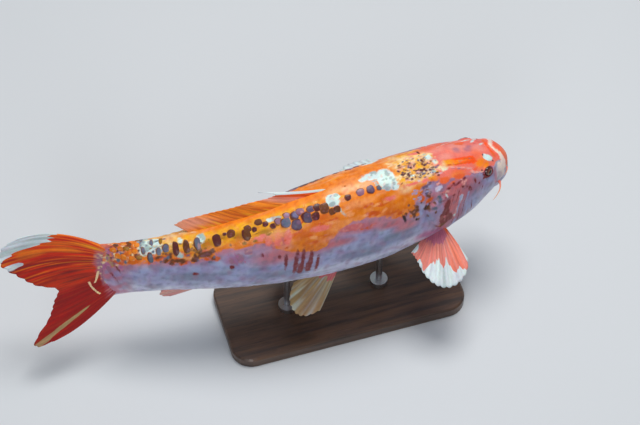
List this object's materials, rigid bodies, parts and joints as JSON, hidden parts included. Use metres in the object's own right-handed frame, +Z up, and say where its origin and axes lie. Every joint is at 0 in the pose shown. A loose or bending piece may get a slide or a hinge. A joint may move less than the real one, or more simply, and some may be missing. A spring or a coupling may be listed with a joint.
{
  "type": "koi carp model on a display stand",
  "caption": "Life-size still model of an adult mirror-scaled koi carp, cruising with a slight bend, held by rods over a flat display base.",
  "frame": {"origin": "middle of the underside of the stand's base", "axes": "+X is the way the fish swims and the longest way, +Y the fish's left, +Z up"},
  "size_m": [0.6149, 0.2049, 0.2327],
  "materials": {
    "orange_skin": "wet, smooth leathery skin, orange on the back and flanks",
    "head_skin": "wet, smooth skin of the head, salmon red",
    "pale_skin": "wet, pale skin of the chin",
    "fin_orange": "thin orange-red fin membrane over rays",
    "fin_pale": "thin pale fin membrane over rays",
    "eye": "glossy dark eye",
    "stand_wood": "dark stained wood, satin",
    "stand_steel": "brushed steel"
  },
  "bodies": {
    "root": {"head": "head_skin", "lower_jaw": "pale_skin", "gill_cover_left": "head_skin", "gill_cover_right": "head_skin", "eye_left": "eye", "eye_right": "eye", "barbel_lip_left": "head_skin", "barbel_lip_right": "head_skin", "barbel_corner_left": "head_skin", "barbel_corner_right": "head_skin", "trunk_front": "orange_skin", "trunk_middle": "orange_skin", "trunk_rear": "orange_skin", "tail_stem": "orange_skin", "dorsal_fin": "fin_orange", "anal_fin": "fin_pale", "caudal_fin_upper": "fin_orange", "caudal_fin_lower": "fin_orange", "pectoral_fin_right": "fin_orange", "pectoral_fin_left": "fin_pale", "pelvic_fin_right": "fin_pale", "pelvic_fin_left": "fin_pale", "stand_base": "stand_wood", "stand_collar_front": "stand_steel", "stand_collar_rear": "stand_steel", "stand_rod_front": "stand_steel", "stand_rod_rear": "stand_steel", "stand_saddle_front": "stand_steel", "stand_saddle_rear": "stand_steel"}
  },
  "joints": []
}
